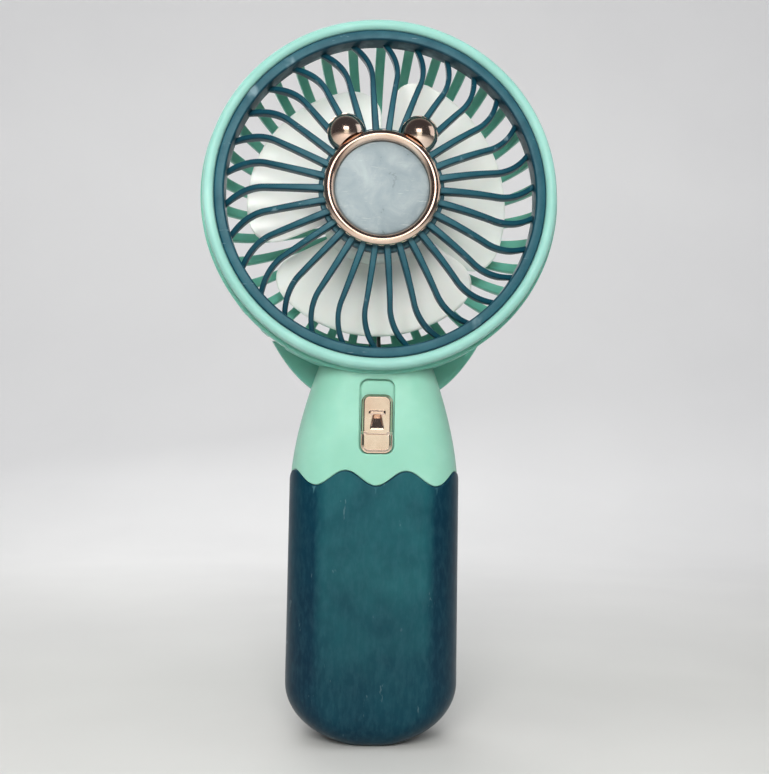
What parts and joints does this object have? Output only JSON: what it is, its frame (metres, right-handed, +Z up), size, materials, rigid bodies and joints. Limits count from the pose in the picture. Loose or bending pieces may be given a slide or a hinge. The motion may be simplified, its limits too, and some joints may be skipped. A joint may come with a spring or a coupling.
{
  "type": "handheld electric fan",
  "caption": "Pocket fan with a caged petal impeller, domed rib grille, round hub trim, tapered neck with a slide switch, and a flat-based grip in a scalloped sleeve.",
  "frame": {"origin": "centre of the flat base under the handle", "axes": "+Z up along the handle, -Y towards the user, out of the front grille, +X to the right as seen from the front"},
  "size_m": [0.1, 0.0439, 0.2015],
  "materials": {
    "mint_plastic": "satin moulded plastic",
    "teal_plastic": "satin moulded plastic",
    "slate_plastic": "brushed, worn gloss",
    "rose_gold": "plated, polished",
    "white_plastic": "satin moulded plastic",
    "steel": "satin",
    "screw_steel": "zinc plated",
    "laminated_iron": "bare",
    "copper": "bare",
    "bearing_brass": "sintered",
    "black_plastic": "moulded",
    "board_laminate": "solder mask",
    "cell_wrap": "shrink wrap",
    "wire_insulation": "extruded",
    "foam": "open cell",
    "clear_plastic": "clear"
  },
  "bodies": {
    "fan_body": {"front_bezel": "mint_plastic", "front_grille": "teal_plastic", "hub_ring": "rose_gold", "left_ear": "rose_gold", "right_ear": "rose_gold", "hub_disc": "slate_plastic", "rear_grille": "mint_plastic", "motor_can": "steel", "motor_magnets": "laminated_iron", "front_bush": "bearing_brass", "rear_bush": "bearing_brass", "motor_brushes": "bearing_brass", "motor_end_cap": "black_plastic", "motor_clamp_ring": "black_plastic", "motor_screws": "screw_steel", "motor_wires": "wire_insulation", "front_shell": "mint_plastic", "rear_shell": "mint_plastic", "handle_sleeve": "teal_plastic", "shell_screws": "screw_steel", "neck_screws": "screw_steel", "switch_housing": "steel", "circuit_board": "board_laminate", "board_screws": "screw_steel", "control_chips": "black_plastic", "charge_socket": "steel", "charge_led": "clear_plastic", "led_light_pipe": "clear_plastic", "battery_cell": "cell_wrap", "battery_wires": "wire_insulation", "battery_foam": "foam"},
    "impeller_assembly": {"impeller": "white_plastic", "motor_shaft": "steel", "armature_core": "laminated_iron", "armature_windings": "copper", "commutator": "copper"},
    "switch_knob": {"slide_button": "rose_gold", "switch_slider": "black_plastic"}
  },
  "joints": [
    {"name": "impeller_spin", "type": "hinge", "parent": "fan_body", "child": "impeller_assembly", "pos_m": [0, 0, 0.1515], "axis": [0, 1, 0], "continuous": true},
    {"name": "switch_slide", "type": "slide", "parent": "fan_body", "child": "switch_knob", "axis": [0, 0, 1], "range_m": [0, 0.004]}
  ]
}
